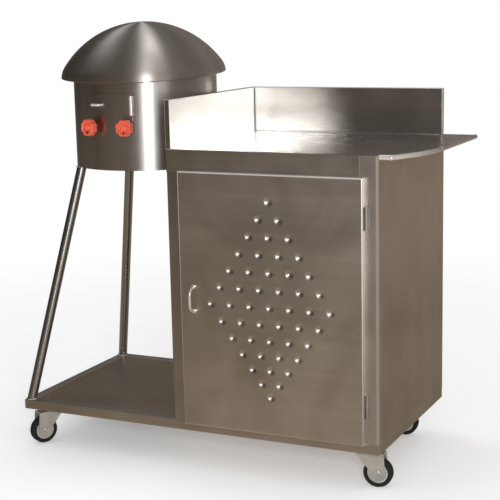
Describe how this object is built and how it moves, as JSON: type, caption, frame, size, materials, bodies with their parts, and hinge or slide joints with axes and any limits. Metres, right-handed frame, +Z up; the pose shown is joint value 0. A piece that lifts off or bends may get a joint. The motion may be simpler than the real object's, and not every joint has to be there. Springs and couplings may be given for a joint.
{
  "type": "roomali roti range",
  "caption": "Wheeled stainless cart with a convex lift-off griddle on a gas burner drum, beside a cabinet with a splash-backed worktop and a dimpled door.",
  "frame": {"origin": "on the floor, at the middle of the overall length and depth", "axes": "+X to the worktop leaf on the right, +Y to the back, +Z up; the door faces -Y"},
  "size_m": [1.22, 0.6076, 1.239],
  "materials": {
    "brushed_stainless": "brushed sheet, fine grain",
    "polished_stainless": "polished sheet with soft streaks",
    "polished_steel": "bright polished rod and tube",
    "burner_iron": "rough cast",
    "valve_brass": "machined",
    "zinc_plate": "zinc plated, satin",
    "red_knob": "moulded, slight gloss",
    "magnet_black": "matt",
    "hub_grey": "moulded",
    "tyre_black": "rubber"
  },
  "bodies": {
    "frame": {"base_front_rail": "brushed_stainless", "base_rear_rail": "brushed_stainless", "base_left_rail": "brushed_stainless", "base_right_rail": "brushed_stainless", "base_cross_rail": "brushed_stainless", "corner_gussets": "brushed_stainless", "hex_bolts": "zinc_plate", "shelf_tray": "brushed_stainless", "cabinet_floor": "brushed_stainless", "left_corner_post": "brushed_stainless", "right_corner_post": "brushed_stainless", "left_side_panel": "brushed_stainless", "right_side_panel": "brushed_stainless", "back_panel": "brushed_stainless", "front_apron": "brushed_stainless", "worktop": "brushed_stainless", "worktop_stiffener": "brushed_stainless", "left_splash": "polished_stainless", "rear_splash": "polished_stainless", "post_hinge_leaves": "polished_steel", "door_hinge_pins": "polished_steel", "catch_magnet": "magnet_black", "drum_shell": "polished_stainless", "drum_base_ring": "brushed_stainless", "drum_bracket": "brushed_stainless", "hatch_hinge_leaf": "polished_steel", "hatch_hinge_pin": "polished_steel", "burner_outer_ring": "burner_iron", "burner_inner_ring": "burner_iron", "burner_support_bars": "burner_iron", "gas_manifold": "brushed_stainless", "valve_bodies": "valve_brass", "hose_nozzle": "valve_brass", "front_leg": "polished_steel", "rear_leg": "polished_steel", "caster_plates": "zinc_plate"},
    "door": {"door_skin": "brushed_stainless", "door_inner_pan": "brushed_stainless", "door_handle": "polished_steel", "door_hinge_leaves": "polished_steel", "catch_strike": "polished_steel"},
    "ignition_hatch": {"hatch": "polished_stainless", "hatch_pull": "polished_steel"},
    "left_gas_knob": {"left_knob": "red_knob", "left_spindle": "zinc_plate"},
    "right_gas_knob": {"right_knob": "red_knob", "right_spindle": "zinc_plate"},
    "griddle": {"griddle_dome": "polished_stainless"},
    "front_left_swivel_fork": {"front_left_fork": "zinc_plate"},
    "front_left_wheel": {"front_left_hub": "hub_grey", "front_left_tyre": "tyre_black"},
    "front_right_swivel_fork": {"front_right_fork": "zinc_plate"},
    "front_right_wheel": {"front_right_hub": "hub_grey", "front_right_tyre": "tyre_black"},
    "rear_left_swivel_fork": {"rear_left_fork": "zinc_plate"},
    "rear_left_wheel": {"rear_left_hub": "hub_grey", "rear_left_tyre": "tyre_black"},
    "rear_right_swivel_fork": {"rear_right_fork": "zinc_plate"},
    "rear_right_wheel": {"rear_right_hub": "hub_grey", "rear_right_tyre": "tyre_black"}
  },
  "joints": [
    {"name": "door_swing", "type": "hinge", "parent": "frame", "child": "door", "pos_m": [0.4785, -0.26055, 0.518], "axis": [0, 0, 1], "range_deg": [0, 115]},
    {"name": "hatch_swing", "type": "hinge", "parent": "frame", "child": "ignition_hatch", "pos_m": [-0.2472, -0.181, 1.009], "axis": [0, 0, 1], "range_deg": [0, 110]},
    {"name": "left_knob_turn", "type": "hinge", "parent": "frame", "child": "left_gas_knob", "pos_m": [-0.36751, -0.17983, 0.948], "axis": [-0.2453, -0.9694, 0], "range_deg": [0, 270]},
    {"name": "right_knob_turn", "type": "hinge", "parent": "frame", "child": "right_gas_knob", "pos_m": [-0.26449, -0.17983, 0.948], "axis": [0.2453, -0.9694, 0], "range_deg": [0, 270]},
    {"name": "griddle_lift", "type": "slide", "parent": "frame", "child": "griddle", "axis": [0, 0, 1], "range_m": [0, 0.25]},
    {"name": "front_left_swivel", "type": "hinge", "parent": "frame", "child": "front_left_swivel_fork", "pos_m": [-0.55, -0.19625, 0.108], "axis": [0, 0, 1], "continuous": true},
    {"name": "front_left_roll", "type": "hinge", "parent": "front_left_swivel_fork", "child": "front_left_wheel", "pos_m": [-0.5675, -0.22656, 0.04], "axis": [0.866, -0.5, 0], "continuous": true},
    {"name": "front_right_swivel", "type": "hinge", "parent": "frame", "child": "front_right_swivel_fork", "pos_m": [0.45, -0.19625, 0.108], "axis": [0, 0, 1], "continuous": true},
    {"name": "front_right_roll", "type": "hinge", "parent": "front_right_swivel_fork", "child": "front_right_wheel", "pos_m": [0.48487, -0.1932, 0.04], "axis": [-0.0872, 0.9962, 0], "continuous": true},
    {"name": "rear_left_swivel", "type": "hinge", "parent": "frame", "child": "rear_left_swivel_fork", "pos_m": [-0.55, 0.24375, 0.108], "axis": [0, 0, 1], "continuous": true},
    {"name": "rear_left_roll", "type": "hinge", "parent": "rear_left_swivel_fork", "child": "rear_left_wheel", "pos_m": [-0.51711, 0.23178, 0.04], "axis": [0.342, 0.9397, 0], "continuous": true},
    {"name": "rear_right_swivel", "type": "hinge", "parent": "frame", "child": "rear_right_swivel_fork", "pos_m": [0.45, 0.24375, 0.108], "axis": [0, 0, 1], "continuous": true},
    {"name": "rear_right_roll", "type": "hinge", "parent": "rear_right_swivel_fork", "child": "rear_right_wheel", "pos_m": [0.41513, 0.2407, 0.04], "axis": [0.0872, -0.9962, 0], "continuous": true}
  ]
}
